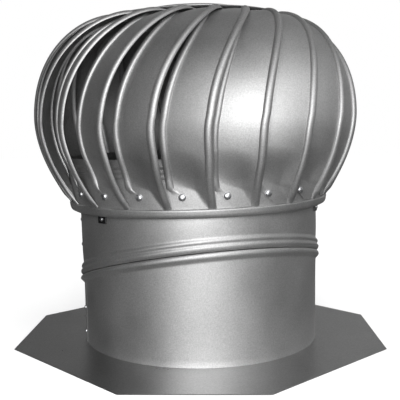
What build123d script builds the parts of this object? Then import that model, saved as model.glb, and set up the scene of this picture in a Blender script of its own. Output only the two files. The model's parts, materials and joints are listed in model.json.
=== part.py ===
"""Roof turbine ventilator with a variable-pitch base.

Frame: millimetres, +Z up, origin at the middle of the flashing's underside. The front is -Y. Azimuths are in
degrees, counter-clockwise seen from above, and are counted from the front.

The sheet base stands on the roof. Above a sloping swivel seam, the upper collar carries three brace arms and
the bearing housing. The rotor is everything that turns on the shaft: vanes, bottom ring, crown plate and cap.
The collar and the rotor are built upright, then turned together about the seam by the set pitch.
"""

import os
from math import asin, atan2, cos, degrees, radians, sin, sqrt

from build123d import *

# Sheet stock and running clearances
COLLAR_SHEET = 0.8
VANE_SHEET = 0.6
SEAT_GAP = 0.1
HOOK_GAP = 0.5
SWIVEL_GAP = 0.35
SHAFT_GAP = 0.05

# Flashing: a square sheet with clipped corners and a turned-up neck
FLASHING_WIDTH = 462.0
FLASHING_CLIP = 151.0
NECK_HEIGHT = 14.0

# Base collars and the sloping swivel seam between them
THROAT_DIAMETER = 304.8
COLLAR_STEP = 1.5
COLLAR_TOP = 188.0
SEAM_HEIGHT = 92.5
SEAM_SLOPE = 15.8
SEAM_HEADING = 21.8
SEAM_BEAD_HEIGHT = 11.0
SEAM_BEAD_OVERHANG = 7.6
SEAM_LEDGE = 1.0
LIP_FLARE = 3.6
LIP_HEIGHT = 4.6
PITCH_SET = -4.4
LAP_WIDTH = 18.0
LOWER_LAP_AZIMUTH = -73.0
UPPER_LAP_AZIMUTH = -82.0

# Brace arms, bearing housing and shaft
ARM_COUNT = 3
ARM_AZIMUTH = -41.0
ARM_WIDTH = 15.0
ARM_SHEET = 2.0
ARM_TAB_BOTTOM = 165.0
ARM_HOOK_DEPTH = 11.0
ARM_HUB_HEIGHT = 196.0
ARM_HUB_TAB = 18.0
HOUSING_BOTTOM = 168.0
HOUSING_TOP = 238.0
HOUSING_FLATS = 27.0
BEARING_WALL = 3.0
BEARING_LENGTH = 12.0
SHAFT_RADIUS = 6.0
SHOULDER_RADIUS = 8.5
SHOULDER_LENGTH = 6.0
NUT_FLATS = 19.0
NUT_HEIGHT = 8.0

# Rotor: bottom ring, crown plate and cap
RING_RADIUS = 164.0
RING_BEAD = 4.0
RING_BEAD_HEIGHT = 9.0
RING_BOTTOM = 174.0
RING_TOP = 241.0
CROWN_RADIUS = 113.0
CROWN_HEIGHT = 412.8
CROWN_SHEET = 1.0
HUB_WIDTH = 56.0
HUB_THICKNESS = 4.0
CAP_RADIUS = 65.5
CAP_HEIGHT = 10.2
CAP_SHEET = 0.8

# Vanes: twisted strips with a bead along both edges
VANE_COUNT = 21
VANE_PHASE = 10.5
VANE_WIDTH = 50.0
VANE_BEAD_WIDTH = 5.6
VANE_BEAD = 2.8
VANE_STEP = 15.0
VANE_STEP_TOP = 8.0
VANE_END_RADIUS = 104.0
HEAD_RADIUS = 208.7
WAIST_HEIGHT = 287.0
FOOT_POWER = 1.8
FOOT_RISE = 3.0
TAB_SHARE = 0.78
FOOT_CLIP = 24.0
TOP_CLIP = 6.0

# Rivets
RIVET_FACETS = 8
RIVET_RADIUS = 4.0
RIVET_HEIGHT = 2.2
RIVET_RISE = 20.5
RIVET_AZIMUTH = -10.2
SMALL_RIVET_RADIUS = 2.5
SMALL_RIVET_HEIGHT = 1.6
LOWER_RIVET_HEIGHTS = (14.0, 45.0)
UPPER_RIVET_HEIGHTS = (125.0, 158.0)

UP = Vector(0, 0, 1)


def around(radius, azimuth, height=0.0):
    """The point at a radius and an azimuth from the front."""
    turn = radians(azimuth)
    return Vector(radius * sin(turn), -radius * cos(turn), height)


# The seam's plane rises towards SEAM_HEADING. Its X axis is level, and its Z axis is the swivel's axis.
seam_centre = Vector(0, 0, SEAM_HEIGHT)
seam_level = around(1, SEAM_HEADING + 90)
seam_normal = UP * cos(radians(SEAM_SLOPE)) - around(1, SEAM_HEADING) * sin(radians(SEAM_SLOPE))
seam_axis = Axis(seam_centre, seam_normal)
seam_section = Plane(origin=seam_centre, x_dir=seam_level, z_dir=seam_level.cross(seam_normal))


def turned(points, section=Plane.XZ, axis=Axis.Z):
    """A solid turned about an axis from a closed outline of (radius, height) points."""
    outline = make_face(section * Polyline(*points, close=True))
    return revolve(outline, axis, 360)


def sleeve(inner, outer, bottom, top):
    """A plain round tube on the Z axis."""
    return turned([(inner, bottom), (outer, bottom), (outer, top), (inner, top)])


def rivet_head(radius, height, at, azimuth):
    """A faceted rivet head whose flat side sits at a point and faces outwards at an azimuth."""
    plane = Plane(origin=at, x_dir=UP, z_dir=around(1, azimuth))
    return extrude(plane * RegularPolygon(radius, RIVET_FACETS), height)


def collar_wall(radius, bottom, top, lap_azimuth):
    """An upright sheet tube, with the doubled sheet of its lap seam on the outside."""
    tube = sleeve(radius - COLLAR_SHEET, radius, bottom, top)
    doubled = sleeve(radius - COLLAR_SHEET, radius + COLLAR_SHEET, bottom, top)
    strip = Box(2 * radius, LAP_WIDTH, top, align=(Align.MIN, Align.CENTER, Align.MIN))
    return tube + (doubled & (Rot(0, 0, lap_azimuth - 90) * strip))


# ---------------------------------------------------------------- base

throat_radius = THROAT_DIAMETER / 2
collar_radius = throat_radius + COLLAR_STEP
neck_radius = throat_radius - COLLAR_SHEET - SEAT_GAP


def make_flashing():
    sheet = chamfer(Rectangle(FLASHING_WIDTH, FLASHING_WIDTH).vertices(), FLASHING_CLIP)
    plate = extrude(sheet, COLLAR_SHEET)
    neck = Cylinder(neck_radius, NECK_HEIGHT, align=(Align.CENTER, Align.CENTER, Align.MIN))
    bore = Cylinder(neck_radius - COLLAR_SHEET, 3 * NECK_HEIGHT)
    return plate + neck - bore


# The beads of the seam are circles in the sloping plane, and the upright walls end on them. The lower collar's
# lip flares outwards inside the upper collar's bead, so that it turns there and can't lift out.
bead_radius = throat_radius + SEAM_BEAD_OVERHANG
lip_radius = throat_radius - SEAM_LEDGE


def make_lower_collar():
    inner = throat_radius - COLLAR_SHEET - SEAM_LEDGE
    wall = collar_wall(throat_radius, COLLAR_SHEET, 2 * SEAM_HEIGHT, LOWER_LAP_AZIMUTH)
    above = turned(
        [
            (0, -SEAM_BEAD_HEIGHT),
            (inner, -SEAM_BEAD_HEIGHT),
            (bead_radius, -SEAM_BEAD_HEIGHT / 2),
            (2 * bead_radius, 0),
            (2 * bead_radius, 2 * bead_radius),
            (0, 2 * bead_radius),
        ],
        seam_section, seam_axis,
    )
    bead = turned(
        [
            (inner, -SEAM_BEAD_HEIGHT),
            (bead_radius, -SEAM_BEAD_HEIGHT / 2),
            (lip_radius, -SWIVEL_GAP),
            (lip_radius + LIP_FLARE, LIP_HEIGHT),
            (lip_radius + LIP_FLARE - COLLAR_SHEET, LIP_HEIGHT + COLLAR_SHEET / 2),
            (lip_radius - COLLAR_SHEET, -SWIVEL_GAP),
        ],
        seam_section, seam_axis,
    )
    return (wall - above) + bead


def make_upper_collar():
    inner = collar_radius - COLLAR_SHEET - SEAM_LEDGE
    wall = collar_wall(collar_radius, 0, COLLAR_TOP, UPPER_LAP_AZIMUTH)
    below = turned(
        [
            (0, SEAM_BEAD_HEIGHT),
            (inner, SEAM_BEAD_HEIGHT),
            (bead_radius, SEAM_BEAD_HEIGHT / 2),
            (2 * bead_radius, 0),
            (2 * bead_radius, -2 * bead_radius),
            (0, -2 * bead_radius),
        ],
        seam_section, seam_axis,
    )
    run = SWIVEL_GAP * LIP_FLARE / LIP_HEIGHT
    bead = turned(
        [
            (lip_radius + SWIVEL_GAP + 2 * run, SWIVEL_GAP),
            (lip_radius + SWIVEL_GAP + 2 * run + COLLAR_SHEET, SWIVEL_GAP),
            (bead_radius, SEAM_BEAD_HEIGHT / 2),
            (inner, SEAM_BEAD_HEIGHT),
            (lip_radius + LIP_FLARE + SWIVEL_GAP + run, LIP_HEIGHT + SWIVEL_GAP),
        ],
        seam_section, seam_axis,
    )
    return (wall - below) + bead


# ---------------------------------------------------------------- brace, housing and shaft


def make_brace_arm(azimuth):
    """A flat strip: hooked over the collar's top, then sloping down to a tab on the housing."""
    outside = collar_radius + SEAT_GAP + ARM_SHEET / 2
    inside = sqrt((collar_radius - COLLAR_SHEET) ** 2 - (ARM_WIDTH / 2) ** 2) - HOOK_GAP - ARM_SHEET / 2
    over = COLLAR_TOP + SEAT_GAP + ARM_SHEET / 2
    hub = HOUSING_FLATS / 2 + SEAT_GAP + ARM_SHEET / 2
    path = [
        (outside, ARM_TAB_BOTTOM),
        (outside, over),
        (inside, over),
        (inside, COLLAR_TOP - ARM_HOOK_DEPTH),
        (hub, ARM_HUB_HEIGHT),
        (hub, ARM_HUB_HEIGHT + ARM_HUB_TAB),
    ]
    strip = make_face(Plane.XZ * Polyline(*strip_outline(path, ARM_SHEET), close=True))
    return Rot(0, 0, azimuth - 90) * extrude(strip, ARM_WIDTH / 2, both=True)


def strip_outline(path, thickness):
    """The outline of a bent strip, mitred at the bends, from its centre line of (radius, height) points."""
    points = [Vector(*p) for p in path]
    ways = [(b - a).normalized() for a, b in zip(points, points[1:])]
    sides = []
    for sign in (1, -1):
        side = []
        for index, point in enumerate(points):
            before, after = ways[max(index - 1, 0)], ways[min(index, len(ways) - 1)]
            across = (before + after).normalized()
            normal = Vector(-across.Y, across.X)
            reach = sign * thickness / 2 / normal.dot(Vector(-before.Y, before.X))
            side.append(point + normal * reach)
        sides.append(side)
    return [(p.X, p.Y) for p in sides[0] + sides[1][::-1]]


bearing_radius = SHAFT_RADIUS + SHAFT_GAP + BEARING_WALL


def make_bearing_housing():
    """A tube of hexagonal bar, with a flat for each brace arm."""
    hexagon = RegularPolygon(HOUSING_FLATS / 2, 6, major_radius=False) - Circle(bearing_radius + SHAFT_GAP)
    return Pos(0, 0, HOUSING_BOTTOM) * Rot(0, 0, ARM_AZIMUTH - 60) * extrude(hexagon, HOUSING_TOP - HOUSING_BOTTOM)


def make_bearing(bottom):
    return sleeve(SHAFT_RADIUS + SHAFT_GAP, bearing_radius, bottom, bottom + BEARING_LENGTH)


def make_shaft():
    """The turned shaft: its shoulder rests on the upper bearing."""
    shoulder = HOUSING_TOP + SEAT_GAP
    return turned(
        [
            (0, HOUSING_BOTTOM - NUT_HEIGHT - 3),
            (SHAFT_RADIUS, HOUSING_BOTTOM - NUT_HEIGHT - 3),
            (SHAFT_RADIUS, shoulder),
            (SHOULDER_RADIUS, shoulder),
            (SHOULDER_RADIUS, shoulder + SHOULDER_LENGTH),
            (SHAFT_RADIUS, shoulder + SHOULDER_LENGTH),
            (SHAFT_RADIUS, nut_seat + NUT_HEIGHT),
            (0, nut_seat + NUT_HEIGHT),
        ]
    )


def make_nut(bottom):
    hexagon = RegularPolygon(NUT_FLATS / 2, 6, major_radius=False) - Circle(SHAFT_RADIUS + SHAFT_GAP)
    return Pos(0, 0, bottom) * extrude(hexagon, NUT_HEIGHT)


# ---------------------------------------------------------------- rotor

nut_seat = CROWN_HEIGHT + CROWN_SHEET


def make_bottom_ring():
    inner = RING_RADIUS - COLLAR_SHEET
    return turned(
        [
            (inner, RING_BOTTOM),
            (RING_RADIUS + RING_BEAD, RING_BOTTOM + RING_BEAD_HEIGHT / 2),
            (RING_RADIUS, RING_BOTTOM + RING_BEAD_HEIGHT),
            (RING_RADIUS, RING_TOP),
            (inner, RING_TOP),
        ]
    )


def make_crown_hub():
    """A square stiffening plate under the crown, on the shaft."""
    outline = Rectangle(HUB_WIDTH, HUB_WIDTH) - Circle(SHAFT_RADIUS + SHAFT_GAP)
    return Pos(0, 0, CROWN_HEIGHT - HUB_THICKNESS) * extrude(outline, HUB_THICKNESS)


def make_cap():
    """A shallow spun cap over the shaft nut."""
    inner = CAP_RADIUS - CAP_SHEET
    top = nut_seat + CAP_HEIGHT
    return turned(
        [
            (inner, nut_seat), (CAP_RADIUS, nut_seat), (CAP_RADIUS, top),
            (0, top), (0, top - CAP_SHEET), (inner, top - CAP_SHEET),
        ]
    )


# The sheet of a vane's foot lies on the ring. Its flat facets dip inside the circle through their corners.
facet_angle = degrees(2 * asin(VANE_WIDTH / 4 / RING_RADIUS))
seat_radius = (RING_RADIUS + SEAT_GAP) / cos(radians(facet_angle / 2)) + VANE_SHEET
foot_height = RING_BOTTOM + RING_BEAD_HEIGHT + FOOT_RISE
crown_inset = HEAD_RADIUS - CROWN_RADIUS
crown_rise = CROWN_HEIGHT - SEAT_GAP - WAIST_HEIGHT


def below_waist(share):
    """Envelope point and outward slope below the waist, by the share of the way down to the foot."""
    drop = HEAD_RADIUS - seat_radius - VANE_BEAD
    radius = HEAD_RADIUS - drop * share**FOOT_POWER
    fall = drop * FOOT_POWER * share ** (FOOT_POWER - 1)
    slope = -degrees(atan2(fall, WAIST_HEIGHT - foot_height))
    return radius, WAIST_HEIGHT - share * (WAIST_HEIGHT - foot_height), slope


def above_waist(turn):
    """Envelope point and outward slope above the waist, on a quarter of an ellipse."""
    along, up = cos(radians(turn)), sin(radians(turn))
    slope = degrees(atan2(up * crown_inset, along * crown_rise))
    return CROWN_RADIUS + crown_inset * along, WAIST_HEIGHT + crown_rise * up, slope


# The strip's tilt lowers the bead beside the clipped top corner, so the end is lifted to meet the crown.
end_lift = (TOP_CLIP + VANE_BEAD_WIDTH / 2) * VANE_STEP_TOP / VANE_WIDTH

# Stations up a vane: the envelope there, and the outer edge's sweep forward in degrees.
VANE_STATIONS = (
    (*below_waist(1.0), 2.1),
    (*below_waist(TAB_SHARE), 0.8),
    (*below_waist(0.42), 0.0),
    (*below_waist(0.0), 0.4),
    (*above_waist(24), 4.4),
    (*above_waist(47), 11.6),
    (*above_waist(69), 20.0),
    (VANE_END_RADIUS, CROWN_HEIGHT - SEAT_GAP + end_lift, 88.0, 25.0),
)


def vane_edges(radius, height, slope, sweep):
    """The outer and inner edge points of a vane's strip at one station."""
    lean = radians(slope)
    step = VANE_STEP + (VANE_STEP_TOP - VANE_STEP) * max(slope, 0) / 90
    edge_radius = radius - VANE_BEAD * cos(lean)
    edge_height = height - VANE_BEAD * sin(lean)
    if slope > 0:
        inner_radius = edge_radius - step * cos(lean)
        inner_height = edge_height - step * sin(lean)
    else:
        edge_radius = max(edge_radius, seat_radius)
        inner_radius = max(edge_radius - step, seat_radius)
        inner_height = edge_height
    spread = (VANE_WIDTH**2 - step**2) / (4 * edge_radius * inner_radius)
    inner_sweep = sweep - degrees(2 * asin(sqrt(spread)))
    outer = around(edge_radius, sweep, edge_height)
    if (radius, height, slope, sweep) == VANE_STATIONS[0]:
        inner_sweep += degrees(FOOT_CLIP / seat_radius)
    inner = around(inner_radius, inner_sweep, inner_height)
    if (radius, height, slope, sweep) == VANE_STATIONS[-1]:
        outer += (inner - outer).normalized() * TOP_CLIP
    return outer, inner


def vane_section(station):
    """The closed outline of a vane at one station. The inner edge's bead dies out above the foot's flat tab."""
    outer, inner = vane_edges(*station)
    radius, height, slope, sweep = station
    lean = radians(slope)
    middle = Vector(outer.X + inner.X, outer.Y + inner.Y, 0).normalized()
    meridian = UP * cos(lean) - middle * sin(lean)
    width = (outer - inner).length
    across = (outer - inner).normalized()
    on_tab = station in VANE_STATIONS[:2]
    if on_tab:
        out = middle
        crown = seat_radius - ((outer + inner) / 2).dot(middle)
    else:
        out = across.cross(meridian).normalized()
        crown = width**2 / (8 * radius)

    def at(along, lift):
        return inner + across * along + out * lift

    half_bead = VANE_BEAD_WIDTH / 2
    bead_foot = 2 * crown * VANE_BEAD_WIDTH / width
    inner_bead = bead_foot / 2 if on_tab else VANE_BEAD
    outside = [
        at(0, 0), at(half_bead, inner_bead), at(VANE_BEAD_WIDTH, bead_foot), at(width / 2, crown),
        at(width - VANE_BEAD_WIDTH, bead_foot), at(width - half_bead, VANE_BEAD), at(width, 0),
    ]
    inside = [at(width, -VANE_SHEET), at(width / 2, crown - VANE_SHEET), at(0, -VANE_SHEET)]
    return outside + inside


def skin(sections):
    """A closed solid through a row of matching outlines: flat triangles, split on the shorter diagonal."""
    faces = [Face(Wire.make_polygon(sections[0], close=True)), Face(Wire.make_polygon(sections[-1], close=True))]
    for low, high in zip(sections, sections[1:]):
        for index in range(len(low)):
            after = (index + 1) % len(low)
            rising, falling = (low[index], high[after]), (low[after], high[index])
            if (rising[0] - rising[1]).length < (falling[0] - falling[1]).length:
                halves = (*rising, low[after]), (*rising, high[index])
            else:
                halves = (*falling, low[index]), (*falling, high[after])
            faces += [Face(Wire.make_polygon(corners, close=True)) for corners in halves]
    return Solid(Shell(faces))


def make_vane():
    return skin([vane_section(station) for station in VANE_STATIONS])


# ---------------------------------------------------------------- assembly


def seam_rivets(radius, azimuth, heights):
    return [
        rivet_head(SMALL_RIVET_RADIUS, SMALL_RIVET_HEIGHT, around(radius, azimuth, height), azimuth)
        for height in heights
    ]


def build_base():
    return {
        "flashing": make_flashing(),
        "lower_collar": make_lower_collar(),
        "lower_seam_rivets": seam_rivets(
            throat_radius + COLLAR_SHEET + SEAT_GAP, LOWER_LAP_AZIMUTH, LOWER_RIVET_HEIGHTS
        ),
    }


def build_upper_collar():
    parts = {"upper_collar": make_upper_collar()}
    tab_face = collar_radius + SEAT_GAP + ARM_SHEET + SEAT_GAP
    arm_azimuths = [ARM_AZIMUTH + index * 360 / ARM_COUNT for index in range(ARM_COUNT)]
    for index, azimuth in enumerate(arm_azimuths):
        parts[f"brace_arm_{index + 1}"] = make_brace_arm(azimuth)
    parts["brace_rivets"] = [
        rivet_head(
            SMALL_RIVET_RADIUS, SMALL_RIVET_HEIGHT, around(tab_face, azimuth, ARM_TAB_BOTTOM + 5), azimuth
        )
        for azimuth in arm_azimuths
    ]
    parts["upper_seam_rivets"] = seam_rivets(
        collar_radius + COLLAR_SHEET + SEAT_GAP, UPPER_LAP_AZIMUTH, UPPER_RIVET_HEIGHTS
    )
    parts["bearing_housing"] = make_bearing_housing()
    parts["bearings"] = [make_bearing(HOUSING_BOTTOM), make_bearing(HOUSING_TOP - BEARING_LENGTH)]
    return parts


def build_rotor():
    parts = {
        "rotor_shaft": make_shaft(),
        "shaft_nuts": [make_nut(HOUSING_BOTTOM - SEAT_GAP - NUT_HEIGHT), make_nut(nut_seat)],
        "bottom_ring": make_bottom_ring(),
        "crown_plate": sleeve(SHAFT_RADIUS + SHAFT_GAP, CROWN_RADIUS, CROWN_HEIGHT, nut_seat),
        "crown_hub": make_crown_hub(),
        "cap": make_cap(),
    }
    vane = make_vane()
    rivets = []
    for index in range(VANE_COUNT):
        azimuth = VANE_PHASE + index * 360 / VANE_COUNT
        parts[f"vane_{index + 1:02d}"] = Rot(0, 0, azimuth) * vane
        rivet_azimuth = azimuth + RIVET_AZIMUTH
        seat = around(seat_radius + SEAT_GAP, rivet_azimuth, foot_height - FOOT_RISE + RIVET_RISE)
        rivets.append(rivet_head(RIVET_RADIUS, RIVET_HEIGHT, seat, rivet_azimuth))
    parts["vane_rivets"] = rivets
    return parts


def main():
    os.makedirs("parts", exist_ok=True)
    pitched = {**build_upper_collar(), **build_rotor()}
    for name, shape in pitched.items():
        solids = shape if isinstance(shape, list) else [shape]
        pitched[name] = [solid.rotate(seam_axis, PITCH_SET) for solid in solids]
    for name, shape in {**build_base(), **pitched}.items():
        solids = shape if isinstance(shape, list) else [shape]
        whole = Compound(children=solids) if len(solids) > 1 else solids[0]
        whole.label = name
        export_step(whole, f"parts/{name}.step")


main()
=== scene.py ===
"""Roof turbine ventilator: its visible sheet-metal pieces, finishes and studio.

Every piece is a surface computed with numpy, in metres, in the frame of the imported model: +Z up, the front
at -Y. The rotor, the upper collar and the brace are worked out upright and then turned about the swivel seam
by the set pitch, as the two joints of the model give it.
"""

import json
import bmesh
import bpy
import numpy as np
from mathutils import Matrix, Vector


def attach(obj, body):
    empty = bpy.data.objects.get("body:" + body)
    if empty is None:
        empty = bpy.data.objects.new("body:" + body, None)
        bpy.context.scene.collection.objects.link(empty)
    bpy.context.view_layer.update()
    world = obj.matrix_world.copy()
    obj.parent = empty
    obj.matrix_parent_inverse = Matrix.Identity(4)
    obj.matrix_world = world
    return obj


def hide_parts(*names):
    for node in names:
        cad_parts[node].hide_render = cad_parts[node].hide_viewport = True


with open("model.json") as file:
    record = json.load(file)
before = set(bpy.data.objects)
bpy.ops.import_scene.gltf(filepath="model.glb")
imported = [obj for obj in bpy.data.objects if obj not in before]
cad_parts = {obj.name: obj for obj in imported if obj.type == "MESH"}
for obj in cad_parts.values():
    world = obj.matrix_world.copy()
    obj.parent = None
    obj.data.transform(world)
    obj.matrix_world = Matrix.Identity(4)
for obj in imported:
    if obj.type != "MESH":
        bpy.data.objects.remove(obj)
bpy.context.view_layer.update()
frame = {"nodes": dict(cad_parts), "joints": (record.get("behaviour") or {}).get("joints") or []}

bl_info = {
    "name": "Roof Turbine Ventilator",
    "version": (1, 0, 0),
    "blender": (4, 5, 0),
    "location": "View3D > Sidebar > Ventilator",
    "description": "Builds the visible pieces of a roof turbine ventilator around its packed model",
    "category": "Object",
}

FULL_TURN = 2 * np.pi

# -------------------- frame


def joint(name):
    """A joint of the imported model, by name."""
    return next(entry for entry in frame["joints"] if entry["name"] == name)


SEAM_CENTRE = np.array(joint("pitch_swivel")["pos_m"], float)
SEAM_NORMAL = np.array(joint("pitch_swivel")["axis"], float)
ROTOR_AXIS = np.array(joint("rotor_spin")["axis"], float)
UP = np.array((0.0, 0.0, 1.0))
SEAM_HEADING = np.arctan2(-SEAM_NORMAL[0], SEAM_NORMAL[1])
SEAM_RISE = np.hypot(SEAM_NORMAL[0], SEAM_NORMAL[1]) / SEAM_NORMAL[2]
VANE_NODES = sorted(name for name in frame["nodes"] if name.startswith("vane_") and name[5:].isdigit())


def pitch_turn():
    """The 3x3 rotation about the seam's normal that carries +Z onto the rotor's axis."""
    along = SEAM_NORMAL @ UP
    sine = SEAM_NORMAL @ np.cross(UP, ROTOR_AXIS)
    cosine = UP @ ROTOR_AXIS - along * (SEAM_NORMAL @ ROTOR_AXIS)
    return np.array(Matrix.Rotation(np.arctan2(sine, cosine), 3, Vector(SEAM_NORMAL)))


PITCH_TURN = pitch_turn()


def pitched(points):
    """Points of the upright head and upper collar, turned about the seam's axis to the set pitch."""
    return (points - SEAM_CENTRE) @ PITCH_TURN.T + SEAM_CENTRE


def pitched_grids(grids):
    """Grids for add_mesh with their points turned to the set pitch."""
    return [(pitched(points), *wraps) for points, *wraps in grids]


def polar(radius, azimuth, height):
    """Points (radius sin a, -radius cos a, height); the azimuth a runs from the front, seen from above."""
    return np.stack(np.broadcast_arrays(radius * np.sin(azimuth), -radius * np.cos(azimuth), height), axis=-1)


# -------------------- sizes and colours


def length(name, default, description):
    return bpy.props.FloatProperty(
        name=name, default=default, description=description, unit="LENGTH", precision=5
    )


def colour(name, code, description):
    return bpy.props.FloatVectorProperty(
        name=name, default=linear(code), description=description, subtype="COLOR", size=4, min=0, max=1
    )


def linear(code):
    """A colour in linear light with alpha 1, from an sRGB hex code such as #C0C2C4."""
    channels = np.array([int(code[i : i + 2], 16) for i in (1, 3, 5)]) / 255
    low, high = channels / 12.92, ((channels + 0.055) / 1.055) ** 2.4
    return (*np.where(channels <= 0.04045, low, high).tolist(), 1.0)


class HeadSizes(bpy.types.PropertyGroup):
    """Sizes of the rotor's vanes, ring and crown, in the upright frame"""

    vane_width: length("Vane width", 0.0605, "Width of a vane's strip at the head's waist")
    foot_width: length("Foot width", 0.050, "Width of a vane's strip at its foot")
    top_width: length("Top width", 0.057, "Width of a vane's strip where it meets the crown")
    vane_step: length("Vane step", 0.0205, "How far a vane's rear edge lies inside the leading one")
    vane_step_foot: length("Vane step at the foot", 0.013, "The same step at the vane's foot")
    vane_step_top: length("Vane step at the crown", 0.005, "The same step where the vane meets the crown")
    bead_width: length("Vane bead width", 0.0092, "Width of the rolled bead along each edge of a vane")
    bead_height: length("Vane bead height", 0.0034, "Height of the rolled bead above the vane's sheet")
    sheet: length("Vane sheet", 0.0006, "Thickness of the vanes' sheet")
    head_radius: length("Head radius", 0.2087, "Radius of the head at its waist")
    waist_height: length("Waist height", 0.287, "Height of the head's widest point")
    crown_radius: length("Crown radius", 0.113, "Radius of the crown plate")
    crown_height: length("Crown height", 0.4128, "Height of the crown plate's underside")
    seat_radius: length("Foot radius", 0.1652, "Radius at which the feet of the vanes lie on the ring")
    foot_height: length("Foot height", 0.186, "Height of the vanes' lower ends")
    ring_radius: length("Ring radius", 0.164, "Outer radius of the bottom ring's band")
    ring_bottom: length("Ring bottom", 0.174, "Height of the lower edge of the bottom ring")
    ring_top: length("Ring top", 0.241, "Height of the upper edge of the bottom ring")
    ring_bead: length("Ring bead", 0.0092, "Height of the rolled bead at the foot of the ring")


class BaseSizes(bpy.types.PropertyGroup):
    """Sizes of the collars and the flashing, in the upright frame"""

    throat_radius: length("Throat radius", 0.1524, "Outer radius of the lower collar")
    collar_radius: length("Upper collar radius", 0.1539, "Outer radius of the upper collar at its top")
    collar_top: length("Upper collar top", 0.188, "Height of the upper collar's rim before it is pitched")
    collar_sheet: length("Collar sheet", 0.0008, "Thickness of the collars' sheet")
    seam_radius: length("Seam radius", 0.1527, "Radius to which the upper collar narrows at the seam")
    bead_radius: length("Seam bead radius", 0.1600, "Radius towards which the swivel seam's beads rise")
    bead_crest: length("Seam bead crest", 0.0050, "Distance of a bead's crest from the plane of the seam")
    upper_run: length("Upper bead run", 0.0047, "Height over which the upper bead runs out above its crest")
    lower_run: length("Lower bead run", 0.0062, "Height over which the lower bead runs out below its crest")
    shoulder_height: length("Shoulder height", 0.0112, "Distance of the upper bead's shoulder from the seam")
    flashing_width: length("Flashing width", 0.462, "Width of the flashing across its flats")
    flashing_clip: length("Corner clip", 0.151, "How much of each corner is cut off, along a side")
    neck_height: length("Neck height", 0.014, "Height of the flashing's turned-up neck")
    lap_width: length("Lap width", 0.018, "Width of the collars' lap seams")


class Finishes(bpy.types.PropertyGroup):
    """Base colours of the finishes and of the studio floor"""

    sheet: colour("Coated sheet", "#B7B7B7", "Aluminium-zinc coated steel sheet of the head and collars")
    flashing: colour("Flashing sheet", "#B7B7B7", "Aluminium-zinc coated steel sheet of the flashing")
    rivet: colour("Rivets", "#D2D3D5", "Aluminium blind rivets")
    brace: colour("Brace enamel", "#0B0B0C", "Stoving enamel of the brace arms")
    plated: colour("Zinc plate", "#9EA0A2", "Zinc-plated shaft, nuts and bearing housing")
    floor: colour("Floor", "#F4F4F4", "Matt studio floor")


# -------------------- surfaces


def spline(x, knots, values):
    """Values at x on the natural cubic spline through (knots, values): one linear system for its bends."""
    knots, values = np.asarray(knots, float), np.asarray(values, float)
    gaps = np.diff(knots)
    system = np.eye(len(knots))
    inner = np.arange(1, len(knots) - 1)
    system[inner, inner - 1], system[inner, inner + 1] = gaps[:-1], gaps[1:]
    system[inner, inner] = 2 * (gaps[:-1] + gaps[1:])
    change = np.zeros(len(knots))
    change[1:-1] = 6 * np.diff(np.diff(values) / gaps)
    bends = np.linalg.solve(system, change)
    x = np.asarray(x, float)
    i = np.clip(np.searchsorted(knots, x) - 1, 0, len(gaps) - 1)
    a, b, gap = knots[i + 1] - x, x - knots[i], gaps[i]
    curve = (bends[i] * a**3 + bends[i + 1] * b**3) / (6 * gap)
    curve = curve + (values[i] / gap - bends[i] * gap / 6) * a
    return curve + (values[i + 1] / gap - bends[i + 1] * gap / 6) * b


def ease(x):
    """The smooth step 3x^2 - 2x^3 of x held between 0 and 1."""
    x = np.clip(x, 0, 1)
    return x * x * (3 - 2 * x)


def unit(vectors):
    """Vectors scaled to length 1."""
    return vectors / np.linalg.norm(vectors, axis=-1, keepdims=True)


def rounded(corners, radii, steps=6, closed=True):
    """An outline through corners (n, 2), each made an arc of `steps` + 1 points that touches its sides."""
    corners = np.asarray(corners, float)
    before, after = np.roll(corners, 1, axis=0), np.roll(corners, -1, axis=0)
    way_in, way_out = unit(before - corners), unit(after - corners)
    half = np.arccos(np.clip((way_in * way_out).sum(1), -1, 1)) / 2
    radii = np.broadcast_to(radii, len(corners))
    centres = corners + unit(way_in + way_out) * (radii / np.sin(half))[:, None]
    back = (radii / np.tan(half))[:, None]
    start, end = corners + way_in * back - centres, corners + way_out * back - centres
    side = np.stack((-start[:, 1], start[:, 0]), axis=1)
    sweep = np.sign((side * end).sum(1)) * (np.pi - 2 * half)
    angle = sweep[:, None] * np.linspace(0, 1, steps + 1)
    turn = start[:, None] * np.cos(angle)[..., None] + side[:, None] * np.sin(angle)[..., None]
    points = centres[:, None] + turn
    if not closed:
        points = np.concatenate((corners[:1], points[1:-1].reshape(-1, 2), corners[-1:]))
    return points.reshape(-1, 2)


def add_mesh(name, pieces):
    """A mesh object from grids (points, wrap_rows, wrap_columns), with points (rows, columns, 3) in each."""
    verts, quads, base = [], [], 0
    for points, wrap_rows, wrap_columns in pieces:
        rows, columns = points.shape[:2]
        index = base + np.arange(rows * columns).reshape(rows, columns)
        if wrap_rows:
            index = np.concatenate((index, index[:1]))
        if wrap_columns:
            index = np.concatenate((index, index[:, :1]), axis=1)
        corners = (index[:-1, :-1], index[:-1, 1:], index[1:, 1:], index[1:, :-1])
        quads.append(np.stack(corners, axis=-1).reshape(-1, 4))
        verts.append(points.reshape(-1, 3))
        base += rows * columns
    verts, quads = np.concatenate(verts), np.concatenate(quads)
    mesh = bpy.data.meshes.new(name)
    mesh.vertices.add(len(verts))
    mesh.vertices.foreach_set("co", verts.astype(np.float32).ravel())
    mesh.loops.add(quads.size)
    mesh.loops.foreach_set("vertex_index", quads.astype(np.int32).ravel())
    mesh.polygons.add(len(quads))
    mesh.polygons.foreach_set("loop_start", np.arange(0, quads.size, 4, dtype=np.int32))
    mesh.update(calc_edges=True)
    mesh.validate()
    tidy_mesh(mesh)
    piece = bpy.data.objects.new(name, mesh)
    bpy.context.scene.collection.objects.link(piece)
    return piece


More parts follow.
